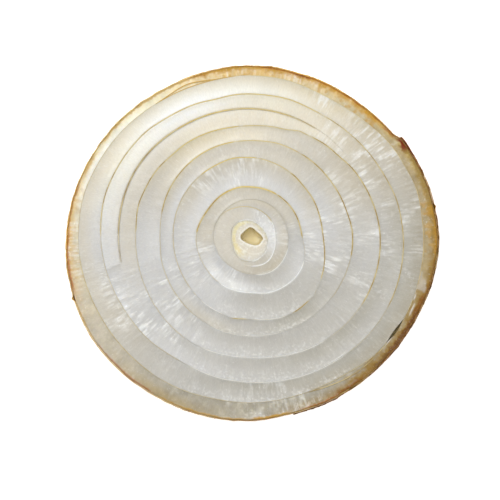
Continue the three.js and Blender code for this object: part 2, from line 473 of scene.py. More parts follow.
def fleshMaterial(name, look):
    # Moist flesh: the piece's own tint, which carries painted light, whitened by fine fibres that run out
    # from the axis, partly painted glints, and by the milk-and-glint field, with painted glints in bright
    # specks, cells and fibres in the bump, and roughness that wanders from wet to half dry.
    material, tree = newTree(name)
    tint = readField(tree, "tint", "Color")
    grain = readField(tree, "grain", "Vector")
    milkAndGlint = readField(tree, "milkAndGlint")
    stretch = (1, 1, look["fibreStretch"])
    strand = noise(tree, grain, look["fibreWidth"], stretch, 4.0, 0.6)
    # the fibre streaks whiten the tint, partly as painted glints
    strandWhiteAndGlint = remap(tree, strand, 0.52, 0.72, 0.0, look["fibreWhiteAndGlint"])
    fine = noise(tree, grain, look["fibreWidth"] * 3, (1, 1, 0.3), 2.0, 0.5)
    strandWhiteAndGlint = combine(tree, "MULTIPLY", strandWhiteAndGlint, combine(tree, "ADD", milkAndGlint, 0.25))
    white = blendColour(tree, tint, (0.93, 0.94, 0.92, 1), strandWhiteAndGlint)
    shade = remap(tree, fine, 0.3, 0.7, look["body"] - 0.04, look["body"] + 0.04)
    colour = blendColour(tree, white, (0, 0, 0, 1), combine(tree, "SUBTRACT", 1.0, shade, True))
    # painted glints: bright specks that whiten the colour
    spark = noise(tree, grain, look["sparkSize"], (1, 1, 0.6), 2.0, 0.7)
    bright = remap(tree, spark, 0.62, 0.7, 0.0, 0.9)
    sparkle = combine(tree, "MULTIPLY", bright, combine(tree, "ADD", milkAndGlint, 0.14), True)
    colour = blendColour(tree, colour, (1.0, 1.0, 0.98, 1), sparkle)
    cellPlace = {"Vector": grain, "Scale": look["cellSize"]}
    cells = addNode(tree, "ShaderNodeTexVoronoi", {"feature": "F1"}, cellPlace)
    low, high = look["roughness"]
    wet = noise(tree, grain, 0.45, (1, 1, 1), 3.0, 0.6)
    roughness = remap(tree, wet, 0.3, 0.7, low, high)
    cell = combine(tree, "MULTIPLY", cells.outputs["Distance"], 0.5)
    normal = bumped(tree, combine(tree, "ADD", cell, strand), look["bump"], 0.00012)
    constants = {
        "Subsurface Weight": look["subsurface"], "Subsurface Radius": look["subsurfaceRadius"],
        "Subsurface Scale": look["subsurfaceScale"], "IOR": 1.38, "Specular IOR Level": look["specular"],
        "Coat Weight": look["coat"], "Coat Roughness": look["coatRoughness"],
    }
    closeTree(tree, colour, roughness, normal, constants)
    return material


membraneLook = {"roughness": 0.45, "subsurface": 0.2, "subsurfaceScale": 0.0006, "bump": 0.4}


def membraneMaterial(name, look):
    # A thin dry film on edge: its own tint, mottled along its length.
    material, tree = newTree(name)
    tint = readField(tree, "tint", "Color")
    grain = readField(tree, "grain", "Vector")
    mottle = noise(tree, grain, 1.6, (1, 1, 1), 3.0, 0.6)
    dark = blendColour(tree, tint, (0.30, 0.17, 0.05, 1), remap(tree, mottle, 0.55, 0.8, 0.0, 0.35))
    roughness = remap(tree, mottle, 0.3, 0.7, look["roughness"] - 0.1, look["roughness"] + 0.15)
    normal = bumped(tree, mottle, look["bump"], 0.0001)
    constants = {
        "Subsurface Weight": look["subsurface"], "Subsurface Radius": (1.0, 0.7, 0.4),
        "Subsurface Scale": look["subsurfaceScale"], "IOR": 1.42,
    }
    closeTree(tree, dark, roughness, normal, constants)
    return material


skinLook = {
    "veinCount": 0.55,  # veins per millimetre round the bulb
    "veinStretch": 0.05,
    "roughness": (0.4, 0.65),
    "specular": 0.3,
    "bump": 0.5,
    "subsurface": 0.1,
}


def skinMaterial(name, look):
    # Dry papery skin: its own tint, darkened and lightened along veins that run from neck to root.
    material, tree = newTree(name)
    tint = readField(tree, "tint", "Color")
    grain = readField(tree, "grain", "Vector")
    vein = noise(tree, grain, look["veinCount"] * 2, (1, 1, look["veinStretch"]), 5.0, 0.65)
    hair = noise(tree, grain, look["veinCount"] * 9, (1, 1, look["veinStretch"] * 2), 2.0, 0.5)
    blotch = noise(tree, grain, 0.22, (1, 1, 1), 4.0, 0.6)
    darker = blendColour(tree, tint, (0.11, 0.05, 0.008, 1), remap(tree, vein, 0.5, 0.78, 0.0, 0.25))
    lighter = blendColour(tree, darker, (0.78, 0.52, 0.16, 1), remap(tree, hair, 0.5, 0.8, 0.0, 0.3))
    colour = blendColour(tree, lighter, (0.24, 0.105, 0.012, 1), remap(tree, blotch, 0.55, 0.75, 0.0, 0.35))
    low, high = look["roughness"]
    roughness = remap(tree, hair, 0.3, 0.7, low, high)
    normal = bumped(tree, combine(tree, "ADD", vein, hair), look["bump"], 0.00015)
    constants = {
        "Subsurface Weight": look["subsurface"], "Subsurface Radius": (1.0, 0.5, 0.2),
        "Subsurface Scale": 0.0005, "IOR": 1.42, "Specular IOR Level": look["specular"],
        "Coat Weight": 0.02, "Coat Roughness": 0.4,
    }
    closeTree(tree, colour, roughness, normal, constants)
    return material


flesh = fleshMaterial("onionFlesh", fleshLook)
heartLook = dict(
    fleshLook, subsurface=0.8, subsurfaceScale=0.002, subsurfaceRadius=(1.0, 0.94, 0.78), body=0.97,
    fibreWhiteAndGlint=0.18,
)
heartFlesh = fleshMaterial("heartFlesh", heartLook)
leatherLook = dict(
    fleshLook, subsurface=0.2, subsurfaceScale=0.0008, subsurfaceRadius=(1.0, 0.7, 0.3), body=0.92,
    fibreWhiteAndGlint=0.2, specular=0.2, coat=0.06, roughness=(0.4, 0.65),
)
leather = fleshMaterial("leatheryFlesh", leatherLook)
film = membraneMaterial("membraneFilm", membraneLook)
paper = skinMaterial("goldenPaper", skinLook)
barkPaper = skinMaterial("brownPaper", dict(skinLook, roughness=(0.45, 0.7), bump=0.7))
print("materials made")


# Each seam says where its film shows tan, where it shows as a pale lip, and how strongly: from, to and
# strength. The first is under the leathery scale and the last is round the heart. The pale lips are
# painted highlight, white where the lips catch the light.
seams = [
    {"tan": [(340, 20, 0.6), (18, 95, 0.5), (93, 128, 0.8), (124, 182, 0.4), (184, 236, 0.6),
             (234, 292, 0.4), (288, 320, 0.5), (332, 342, 0.5)],
     "pale": [(262, 285, 0.5), (334, 340, 0.6)],
     "rusty": [(91, 128, 0.75), (340, 20, 0.4)]},
    {"tan": [(330, 62, 0.8), (58, 182, 0.85), (178, 242, 0.35), (308, 334, 0.3)],
     "pale": [(240, 312, 0.45)]},
    {"tan": [(326, 62, 1.0), (58, 98, 0.7), (94, 180, 0.9), (176, 238, 0.4), (238, 240, 1.0),
             (306, 330, 0.3)],
     "pale": [(242, 308, 0.5)]},
    {"tan": [(346, 62, 1.0), (58, 102, 0.7), (98, 168, 0.95), (164, 236, 0.42), (320, 350, 0.4)],
     "pale": [(240, 290, 0.3)]},
    {"tan": [(326, 62, 1.0), (58, 88, 0.7), (84, 132, 0.95), (128, 222, 0.5), (222, 228, 0.9),
             (236, 240, 0.4), (253, 268, 0.75), (276, 283, 0.4), (296, 314, 0.95), (316, 322, 0.5)],
     "pale": [(228, 253, 0.5), (268, 296, 0.5)]},
    {"tan": [(357, 62, 1.1), (58, 178, 1.4), (174, 234, 0.35), (338, 358, 0.2)],
     "pale": [(232, 338, 0.8)]},
    {"tan": [(20, 175, 0.12), (175, 265, 0.05)],
     "pale": [(272, 345, 0.5)]},
    {"tan": [(135, 265, 0.2)],
     "pale": [(265, 135, 0.6)]},
]
seamWidth = {"closed": 0.012, "tan": 0.08, "pale": 0.08}  # half the space between two rings

# where the leathery scale has come away from the flesh, and how far down the film lies there
lensGap = {"at": 326.5, "spread": 3.4, "half": 0.25, "sunk": 2.2}


def tanAt(k, theta):
    # how strongly seam k's film shows tan at an angle
    return spans(theta, seams[k]["tan"], 5)


def paleLipHighlightAt(k, theta):
    # how strongly it shows as a pale lip, its painted highlight
    return spans(theta, seams[k]["pale"], 8)


def lensAt(theta):
    # 1 in the middle of the gap under the skin, falling to 0 beyond its ends
    return bump(theta, lensGap["at"], lensGap["spread"])


def seamHalf(k, theta):
    # half the seam's width: the closed width, and more where its film shows or the gap is
    shown = np.maximum(seamWidth["tan"] * tanAt(k, theta), seamWidth["pale"] * paleLipHighlightAt(k, theta))
    return seamWidth["closed"] + shown + (lensGap["half"] * lensAt(theta) if k == 0 else 0)


def ringWalls(k, theta):
    # the inner and outer wall of the ring between seams k and k - 1: each border less half the seam
    return border(k, theta) + seamHalf(k, theta), border(k - 1, theta) - seamHalf(k - 1, theta)


# a film's section is a narrow ring's
filmRing = {
    "bottom": 0.25, "edge": 0.02, "topRows": 5, "wallRows": 5, "bottomRows": 3, "cell": 0.2,
    "clear": 0.002,  # between a film and the scales beside it
    "proud": 0.03,  # how far it stands up where it shows
}


def filmTint(theta, tan, pale, seed, meanRadius, rusty):
    # tan films are gold to brown in short runs, painted yellower over the top where the light falls, and
    # deep gold in the rusty spans, and pale ones are painted as white as the flesh, as highlight
    run = patches(seed, theta, 0 * theta, 1.6, meanRadius)
    short = patches(seed + 1, theta, 0 * theta, 0.5, meanRadius)
    colour = mix(tones["butter"], tones["white"], np.clip(pale * 1.2, 0, 1))
    gold = mix(tones["straw"], tones["tan"], 0.75 * ease(0.35, 0.8, 0.6 * run + 0.4 * short))
    gold = mix(gold, tones["amber"], 0.7 * ease(0.5, 0.75, 1 - run))
    # painted light: corn yellow over the top
    gold = mix(gold, tones["corn"], 0.65 * spans(theta, [(50, 142, 1)], 20))
    gold = mix(gold, tones["gold"], spans(theta, rusty, 6))
    return mix(colour, gold, np.clip(tan * 1.1, 0, 1)).reshape(-1, 3)


def finishFilm(name, grid, faces, tan, pale, seed, meanRadius, rusty):
    # the film's upper edge is ragged, and proud of the flesh where it shows
    theta = grid["theta"]
    show = np.maximum(tan, 0.8 * pale)
    ragged = (patches(seed + 2, theta, 0 * theta, 0.5, meanRadius) - 0.5) * 0.06
    lift = filmRing["proud"] * show + ragged
    height = grid["height"] + np.where(grid["face"] == 1, lift, 0)
    radius = grid["radius"] * girth(height)
    points = polarPoints(theta, radius, height).reshape(-1, 3)
    tint = filmTint(theta, tan, pale, seed, meanRadius, rusty)
    grain = polarField(theta, grid["radius"] + height, meanRadius).reshape(-1, 3)
    addPiece(name, points, faces, film, None, {"tint": tint, "grain": grain})


def buildFilm(k, meanRadius, top):
    # the film fills seam k from wall to wall, and lies sunk in the gap under the skin
    ring = dict(filmRing, meanRadius=meanRadius, top=top)

    def wallsAt(theta):
        # half the seam's width, less the clear space, to either side of the seam's line
        half = seamHalf(k, theta) - ring["clear"]
        return border(k, theta) - half, border(k, theta) + half

    grid = ringGrid(ring, wallsAt)
    tan = tanAt(k, grid["theta"])
    pale = paleLipHighlightAt(k, grid["theta"])
    if k == 0:
        gap = lensAt(grid["theta"])
        sunk = lensGap["sunk"] * ease(0.1, 0.5, gap)
        grid["height"] = grid["height"] - np.where(grid["face"] == 1, sunk, 0)
        tan = np.maximum(tan, gap)
    faces = [sheetFaces(*grid["radius"].shape)]
    rusty = seams[k].get("rusty", ())
    finishFilm(f"film{k + 1}", grid, faces, tan, pale, 300 + 9 * k, meanRadius, rusty)


# relief in the cut flesh: how wide, or wide and long, each kind is, and how high it stands
fleshRelief = {
    "lump": 2.6, "lumpHeight": 0.10,
    "smallLump": 0.9, "smallHeight": 0.045,
    "strand": (0.42, 2.4), "strandHeight": 0.06,
    "hair": (0.25, 1.3),  # finer strands that only whiten
    "bead": 0.34, "beadHeight": 0.05,
    "wallFade": 0.5,  # it fades out over this reach towards the ring's walls
    "waveHeight": 0.04, "waves": 3,
    "hollow": 2.2, "hollowDepth": 0.10,  # under the slice
}


def patchOn(grid, ring, offset, size):
    # random patches over a ring's grid, seeded by the ring's own number and an offset
    return patches(ring["seed"] + offset, grid["theta"], grid["radius"], size, ring["meanRadius"])


def strandOn(grid, ring, offset, size):
    # random streaks over it, of the width and length given
    return fibres(ring["seed"] + offset, grid["theta"], grid["radius"], *size, ring["meanRadius"])


def relief(grid, ring):
    # The cut face dishes between its edges, with low lumps, fibres that stand a little proud, and small
    # beads of wet tissue where the ring says so.
    theta, share, sizes = grid["theta"], grid["share"], fleshRelief
    dish = -ring["dish"] * 4 * share * (1 - share)
    lumps = (patchOn(grid, ring, 0, sizes["lump"]) - 0.5) * sizes["lumpHeight"]
    small = (patchOn(grid, ring, 1, sizes["smallLump"]) - 0.5) * sizes["smallHeight"]
    strand = (strandOn(grid, ring, 2, sizes["strand"]) - 0.5) * sizes["strandHeight"]
    strand = strand * (0.35 + spans(theta, ring["fibreAndGlintSpans"], 14))
    bead = ease(0.6, 0.95, patchOn(grid, ring, 3, sizes["bead"])) * sizes["beadHeight"]
    bead = bead * spans(theta, ring["beadAndGlintSpans"], 12) * ease(0.45, 0.85, share)
    return dish + (lumps + small + strand + bead) * edgeFade(grid, sizes["wallFade"])


def wave(grid, ring):
    # slow rises and falls of the cut round the ring
    turn = fleshRelief["waves"] * grid["theta"] + ring["seed"]
    return fleshRelief["waveHeight"] * np.sin(turn)


def underside(grid, ring):
    # the lower cut lies flat, with shallow hollows here and there
    patch = ease(0.55, 0.9, patchOn(grid, ring, 7, fleshRelief["hollow"]))
    return patch * fleshRelief["hollowDepth"] * edgeFade(grid, 0.4)


def milkAndGlintOf(grid, ring):
    # where the flesh is white: patchy fibres, partly white with air and partly painted glints, strongest
    # over the ring's fibre and glint spans
    strand = ease(0.45, 0.9, strandOn(grid, ring, 2, fleshRelief["strand"]))
    hair = ease(0.5, 0.9, strandOn(grid, ring, 4, fleshRelief["hair"]))
    cloud = ease(0.35, 0.75, patchOn(grid, ring, 5, 3.0))
    fleck = ease(0.72, 0.95, patchOn(grid, ring, 6, 0.45))
    strength = 0.12 + spans(grid["theta"], ring["fibreAndGlintSpans"], 14)
    milkAndGlint = strength * (0.5 * strand + 0.42 * hair) * (0.25 + 1.1 * cloud) + 0.2 * fleck * cloud
    # painted highlights: white specks on the wet beads
    bead = ease(0.5, 0.9, patchOn(grid, ring, 3, fleshRelief["bead"]))
    bead = bead * ease(0.4, 0.9, grid["share"])
    milkAndGlint = milkAndGlint + 0.4 * bead * spans(grid["theta"], ring["beadAndGlintSpans"], 12)
    return np.clip(milkAndGlint, 0, 1)


def fleshTint(grid, ring, milkAndGlint):
    # Two rounds of tones, one for the inner side of the ring and one for the outer, blended across it,
    # which carry painted light and shade, clouded in slow patches and whitened by the milk and its painted
    # glints.
    theta, share = grid["theta"], grid["share"]
    inner, outer = (toneRing(ring[side], theta) for side in ("inTones", "outTones"))
    tint = mix(inner, outer, ease(0.1, 0.9, share))
    near = grid["width"] - grid["out"]
    # painted light: yellower near the outer wall over the upper left, where the light falls
    yellow = spans(theta, [(30, 175, 1)], 30) * (1 - ease(0.1, 1.3, near))
    tint = mix(tint, tones["butter"], 0.35 * yellow)
    # beside a tan film the flesh is amber; beside a pale lip it is painted white as highlight
    for seam, away in ((ring["innerSeam"], grid["out"]), (ring["innerSeam"] - 1, near)):
        if seam >= 0:
            edge = np.exp(-(away / 0.16) ** 2)
            tint = mix(tint, tones["amber"], 0.36 * edge * tanAt(seam, theta))
            tint = mix(tint, tones["white"], 0.6 * edge * paleLipHighlightAt(seam, theta))
    cloud = patchOn(grid, ring, 8, 4.5) - 0.5
    tint = tint * (1 + 0.07 * cloud[..., None])
    return mix(tint, tones["white"], 0.7 * milkAndGlint)


def shadeLensGap(tint, grid, away):
    # painted shadow: the walls of the gap under the skin are darkened to olive, where shade falls in the
    # crack
    gap = ease(0.15, 0.7, lensAt(grid["theta"]))
    wall = np.where(grid["face"] == 0, 1.0, 1 - ease(0.0, 0.14, away))
    return mix(tint, tones["olive"], 0.95 * gap * wall * (away < 0.3))


def finishRing(name, ring, grid, material, stoodFor, tint, milkAndGlint, extra=0):
    # the upper cut takes the relief and the groove, the lower cut its hollows and the same groove, and
    # the walls follow the bulb
    face = grid["face"]
    lifted = np.where(face == 1, relief(grid, ring) + extra - grid["groove"], 0)
    lifted = lifted + np.where(face == -1, underside(grid, ring) + grid["groove"], 0)
    height = grid["height"] + lifted
    rise = (grid["height"] - ring["bottom"]) / (ring["top"] - ring["bottom"])
    height = height + wave(grid, ring) * np.clip(rise, 0, 1)
    radius = grid["radius"] * girth(height)
    points = polarPoints(grid["theta"], radius, height).reshape(-1, 3)
    along = grid["radius"] + np.where(face == 0, height, 0)
    fields = {
        "tint": tint.reshape(-1, 3),
        "grain": polarField(grid["theta"], along, ring["meanRadius"]).reshape(-1, 3),
        "milkAndGlint": milkAndGlint.reshape(-1),
    }
    faces = [sheetFaces(*grid["radius"].shape)]
    addPiece(name, points, faces, material, stoodFor, fields)


# Tones are named at even steps round each ring, anticlockwise from +X: first for the inner side of the
# ring and then for the outer. The tones carry painted light and shade: lighter over the upper left and
# darker towards the lower right, and lighter or darker across each ring as light falls on its dished cut.
commonRing = {
    "bottom": 0.0, "edge": 0.05, "dish": 0.22, "cell": 0.2, "wallRows": 5, "bottomRows": 9,
    # the fibre and glint spans and the bead spans raise relief and also whiten the flesh with painted
    # glints
    "beadAndGlintSpans": [(238, 312, 1)],
    "fibreAndGlintSpans": [(182, 235, 1), (345, 48, 1), (300, 340, 0.4)],
}

scales = [
    dict(commonRing, meanRadius=33.6, topRows=25, top=8.85, seed=11, bottomRows=11,
         inTones="clay linen cream snow white ivory pearl linen ash clay clay clay",
         outTones="stone oat butter cream ivory cream oyster linen ash ash stone stone",
         fibreAndGlintSpans=[(20, 78, 1), (182, 225, 0.7), (345, 20, 0.6), (262, 292, 0.5)]),
    dict(commonRing, meanRadius=28.5, topRows=33, top=8.9, seed=23, bottomRows=13, grooveHalf=0.075,
         inTones="ash linen cream cream cream oyster oyster mist dove ash clay clay",
         outTones="clay oat cream ivory white snow pearl mist mist dove ash ash",
         fibreAndGlintSpans=[(5, 62, 0.8), (192, 240, 1), (330, 5, 0.4)]),
    dict(commonRing, meanRadius=23.2, topRows=29, top=8.9, seed=37,
         inTones="dove linen oyster cream cream oyster pearl mist dove ash ash ash",
         outTones="dove oat oyster cream butter linen mist mist mist dove ash ash",
         fibreAndGlintSpans=[(350, 50, 0.7), (195, 245, 1), (310, 350, 0.5)]),
    dict(commonRing, meanRadius=18.8, topRows=25, top=8.95, seed=41,
         inTones="mist mist oyster oyster oyster pearl pearl mist dove ash clay ash",
         outTones="dove linen linen oyster oyster linen mist mist linen ash clay ash",
         fibreAndGlintSpans=[(325, 40, 1), (170, 235, 0.5)]),
    dict(commonRing, meanRadius=14.2, topRows=29, top=8.95, seed=53,
         inTones="mist pearl pearl pearl pearl pearl pearl mist mist ash ash dove",
         outTones="mist linen linen linen linen linen mist mist mist dove ash ash",
         fibreAndGlintSpans=[(325, 30, 0.8), (165, 230, 1), (60, 150, 0.5)]),
    dict(commonRing, meanRadius=9.8, topRows=19, top=9.0, seed=67, cell=0.16,
         inTones="dove linen linen linen linen linen linen mist mist ash ash dove",
         outTones="dove linen linen linen oyster linen linen pearl pearl mist dove mist",
         fibreAndGlintSpans=[(340, 30, 0.6), (180, 275, 1)]),
]

# where fleshy scale 2 has come apart within itself: the split's radius every 30 degrees from 30 on
splitTwo = {
    "firstKnot": 30, "radii": [26.6, 26.9, 27.5, 28.05, 28.85, 28.7, 28.5],
    "from": 60, "foldFrom": 38, "to": 191.5, "depth": 0.3, "foldDepth": 0.06,
}


def splitRadius(split, degrees):
    # a smooth curve through the split's own radii, held past its ends
    radii = np.asarray(split["radii"], float)
    place = np.clip((degrees - split["firstKnot"]) / 30, 0, len(radii) - 1.001)
    i = np.floor(place).astype(int)
    t = place - i
    last = len(radii) - 1
    return cubic(*(radii[np.clip(i + k, 0, last)] for k in (-1, 0, 1, 2)), t)


def splitTwoPath(theta):
    # how far across scale 2 the split lies, and the middle of the scale where there is none
    degrees = np.degrees(theta) % 360
    inner, outer = ringWalls(2, theta)
    path = (splitRadius(splitTwo, degrees) / girth(scales[1]["top"]) - inner) / (outer - inner)
    along = ease(20, 42, degrees) * (1 - ease(193, 215, degrees))
    return np.clip(0.5 + (path - 0.5) * along, 0.06, 0.94)


def splitTwoDepth(theta):
    # deepest where the scale has parted, nearly shut near its far end, and a shallow fold before it
    deep = spans(theta, [(splitTwo["from"], splitTwo["to"], 1)], 4)
    deep = deep * (1 - 0.85 * ease(168, 190, np.degrees(theta) % 360))
    fold = spans(theta, [(splitTwo["foldFrom"], splitTwo["to"], 1)], 12)
    return np.maximum(splitTwo["depth"] * deep, splitTwo["foldDepth"] * fold)


def buildScale(k):
    # the k-th fleshy scale; the second has the split and the flap, and the sixth a painted shine
    ring = dict(scales[k - 1], innerSeam=k)
    split = k == 2
    pathAt, depthAt = (splitTwoPath, splitTwoDepth) if split else (None, None)
    grid = ringGrid(ring, lambda theta: ringWalls(k, theta), pathAt, depthAt)
    milkAndGlint = milkAndGlintOf(grid, ring)
    tint = fleshTint(grid, ring, milkAndGlint)
    extra = 0
    if k == 1:
        tint = shadeLensGap(tint, grid, grid["width"] - grid["out"])
    if split:
        # the part outside the split is a flap that stands proud and is milkier, and it ends square; just
        # past its end the flesh is darkened to stone, a painted shadow of the step
        degrees = np.degrees(grid["theta"]) % 360
        past = grid["share"] - grid["path"]
        end = splitTwo["to"] + 2.5 * past
        inFlap = ease(0.0, 0.06, past)
        flap = inFlap * ease(40, 75, degrees) * (1 - ease(end - 0.5, end + 0.5, degrees))
        extra = 0.13 * flap * edgeFade(grid, 0.15)
        tint = mix(tint, tones["white"], 0.2 * flap * ease(120, 190, degrees))
        flapEndShadow = inFlap * ease(end, end + 0.3, degrees) * (1 - ease(end + 0.6, end + 3, degrees))
        tint = mix(tint, tones["stone"], 0.2 * flapEndShadow)
    if k == 6:
        # the innermost scale is painted white where it leans to the light, a painted highlight
        shine = spans(grid["theta"], [(200, 280, 1)], 25) * ease(0.3, 0.7, grid["share"])
        patch = patches(701, grid["theta"], grid["radius"], 0.9, ring["meanRadius"])
        shine = shine * (0.6 + 0.4 * ease(0.4, 0.8, patch))
        tint = mix(tint, tones["white"], 0.55 * shine)
        milkAndGlint = np.clip(milkAndGlint + 0.35 * shine, 0, 1)
    finishRing(f"scale{k}", ring, grid, flesh, [f"fleshy_scale_{k}"], tint, milkAndGlint, extra)
    print("made scale", k)


for k in range(1, 7):
    buildScale(k)
# each film's mean radius and the height of its upper edge
filmSizes = [
    (36.0, 8.82), (31.0, 8.87), (26.0, 8.89), (21.0, 8.92),
    (16.7, 8.94), (11.4, 8.97), (8.1, 8.97), (4.2, 8.94),
]
for k, (meanRadius, top) in enumerate(filmSizes):
    buildFilm(k, meanRadius, top)
print("made the films")


def stripGrid(ring, degreesFrom, degreesTo, wallsAt):
    # as a ring's grid, but from one angle to another, with the section closed at both ends
    sweep = math.radians(degreesTo - degreesFrom)
    columns = int(sweep * ring["meanRadius"] / ring["cell"])
    theta = np.linspace(math.radians(degreesFrom), math.radians(degreesTo), columns)[:, None]
    rows = sectionRows(ring["topRows"], ring["wallRows"], ring["bottomRows"], 3, False)
    inner, outer = wallsAt(theta)
    width = outer - inner
    a0, a1, z0, z1, face = rows.T[[0, 1, 4, 5, 6]]
    out = a0 * width + a1 * ring["edge"]
    theta = np.broadcast_to(theta, out.shape)
    height = ring["bottom"] + (ring["top"] - ring["bottom"]) * z0 + z1 * ring["edge"]
    height = np.broadcast_to(height, out.shape)
    faces = sheetFaces(columns, len(rows))[: (columns - 1) * len(rows)]
    firstEnd = np.arange(len(rows))[None, :]
    lastEnd = (columns - 1) * len(rows) + np.arange(len(rows))[None, ::-1]
    grid = {"theta": theta, "face": face, "height": height, "radius": inner + out}
    return grid, [faces, firstEnd, lastEnd]


splitFilm = {
    "bottom": 7.4,  # how low the film in a split reaches
    "half": 0.075,  # half its thickness
    "top": 8.88,
}


def buildSplitFilm(name, between, radiusAt, tanSpans, paleSpans, meanRadius, seed, top, rusty=()):
    # a film along a curve, from one angle to another, that thins out towards its ends
    degreesFrom, degreesTo = between
    ring = dict(filmRing, meanRadius=meanRadius, bottom=splitFilm["bottom"], top=top)

    def wallsAt(theta):
        # half the thickness to either side of the curve: a fifth of it at the very ends, and all of it
        # from a tenth of the way along
        along = (np.degrees(theta) - degreesFrom) / (degreesTo - degreesFrom)
        half = splitFilm["half"] * np.clip(8 * np.minimum(along, 1 - along) + 0.2, 0, 1)
        return radiusAt(theta) - half, radiusAt(theta) + half

    grid, faces = stripGrid(ring, degreesFrom, degreesTo, wallsAt)
    tan = spans(grid["theta"], tanSpans, 5)
    pale = spans(grid["theta"], paleSpans, 8)
    finishFilm(name, grid, faces, tan, pale, seed, meanRadius, rusty)


def pathRadius(k, pathAt, theta):
    # the radius of a path across the ring between seams k and k - 1
    inner, outer = ringWalls(k, theta)
    return inner + pathAt(theta) * (outer - inner)


buildSplitFilm(
    "splitFilm", (60, 191), lambda theta: pathRadius(2, splitTwoPath, theta),
    [(56, 72, 0.5), (68, 100, 0.7), (96, 128, 0.9), (124, 182, 0.75), (176, 195, 0.4)],
    [(172, 195, 0.4)], 28, 391, 9.0,
)


def strandRadius(theta):
    # a second line of film just outside the first, that leaves it and meets it again
    return border(0, theta) + 0.75 * bump(theta, 113, 7) + 0.9 * bump(theta, 305, 11)


# each strand's ends, its tan and pale spans, and its seed
strands = [
    ((101, 126), [(98, 130, 1.0)], [], 403),
    ((290, 322), [(286, 326, 0.8)], [(300, 312, 0.6)], 409),
]
for number, (between, tan, pale, seed) in enumerate(strands, 1):
    name, top, rusty = f"strandFilm{number}", splitFilm["top"], seams[0]["rusty"]
    buildSplitFilm(name, between, strandRadius, tan, pale, 36, seed, top, rusty)


scroll = dict(commonRing, innerSeam=7, meanRadius=6.4, topRows=33, top=8.95, seed=79, cell=0.11,
              grooveHalf=0.06, dish=0.09,
              inTones="pearl pearl oyster oyster oyster linen",
              outTones="linen linen oyster oyster linen oat",
              fibreAndGlintSpans=[(340, 60, 0.5)], beadAndGlintSpans=[(250, 330, 0.6)])
splitScroll = {"firstKnot": 240, "radii": [6.2, 6.3, 6.25, 5.45, 4.9, 5.15, 5.65, 6.3, 7.25, 8.35, 9.2],
               "from": 252, "to": 512, "depth": 0.5}


def scrollPath(theta):
    # how far across the leaf the spiral lies: it starts near the heart and winds out until it meets
    # the outer wall
    degrees = np.degrees(theta) % 360
    turned = np.where(degrees < 205, degrees + 360, degrees)
    inner, outer = ringWalls(7, theta)
    path = (splitRadius(splitScroll, turned) / girth(scroll["top"]) - inner) / (outer - inner)
    path = np.clip(path, 0.08, 0.96)
    back = np.clip(0.96 + (0.5 - 0.96) * ease(165, 205, degrees), 0.5, 0.96)
    ahead = 0.5 + (path - 0.5) * ease(205, 250, degrees)
    return np.where(degrees < 165, path, np.where(degrees < 205, back, ahead))


def scrollDepth(theta):
    # one depth from 8 degrees past the spiral's start to 12 short of its end, with long soft ends
    along = [(splitScroll["from"] + 8, splitScroll["to"] - 360 - 12, 1)]
    return splitScroll["depth"] * spans(theta, along, 30)


def buildScroll():
    # the leaf inside the spiral is whiter and beaded, with bright patches and a painted highlight along the
    # spiral's inner lip, and painted shade in stone outside the spiral along its lower side
    ring = scroll
    grid = ringGrid(ring, lambda theta: ringWalls(7, theta), scrollPath, scrollDepth)
    milkAndGlint = milkAndGlintOf(grid, ring)
    tint = fleshTint(grid, ring, milkAndGlint)
    within = 1 - ease(-0.02, 0.02, grid["share"] - grid["path"])
    tint = mix(tint, tones["white"], 0.25 * within * spans(grid["theta"], [(300, 80, 1)], 30))
    # painted shade: stone outside the spiral along its lower side
    tint = mix(tint, tones["stone"], 0.15 * (1 - within) * spans(grid["theta"], [(230, 345, 1)], 40))
    bright = within * spans(grid["theta"], [(320, 95, 1)], 25)
    bright = bright * ease(0.45, 0.75, patches(709, grid["theta"], grid["radius"], 0.5, ring["meanRadius"]))
    tint = mix(tint, tones["white"], 0.45 * bright)
    milkAndGlint = np.clip(milkAndGlint + 0.4 * bright, 0, 1)
    # painted highlight: a white lip along the spiral's inner side
    lip = np.exp(-(((grid["share"] - grid["path"]) * grid["width"] + 0.1) / 0.14) ** 2)
    tint = mix(tint, tones["white"], 0.7 * lip * spans(grid["theta"], [(262, 30, 1)], 20))
    finishRing("scrollLeaf", ring, grid, flesh, ["scroll_leaf"], tint, milkAndGlint)


buildScroll()
buildSplitFilm(
    "scrollFilm", (254, 508), lambda theta: pathRadius(7, scrollPath, theta),
    [(38, 150, 0.7)], [(256, 42, 0.7)], 6.2, 397, splitFilm["top"],
)
print("made the scroll leaf")


heart = {
    "columns": 240, "top": 8.9, "edge": 0.05, "hollowDepth": 2.7, "rim": 0.2, "seed": 83,
    "outerRows": 6, "topRows": 22, "hollowRows": 20, "bottomRows": 8, "curveRows": 4,
    "meanRadius": 3.5,  # sets how many random patches fit round it
}


def hollowAt(theta):
    # the hollow's mouth: a diamond with rounded corners
    radius = around(hollowRadii, theta)
    for degrees, spread, shift in [(107, 8, 0.14), (350, 9, 0.18), (196, 8, 0.06), (306, 9, 0.05)]:
        radius = radius + shift * bump(theta, degrees, spread)
    return radius


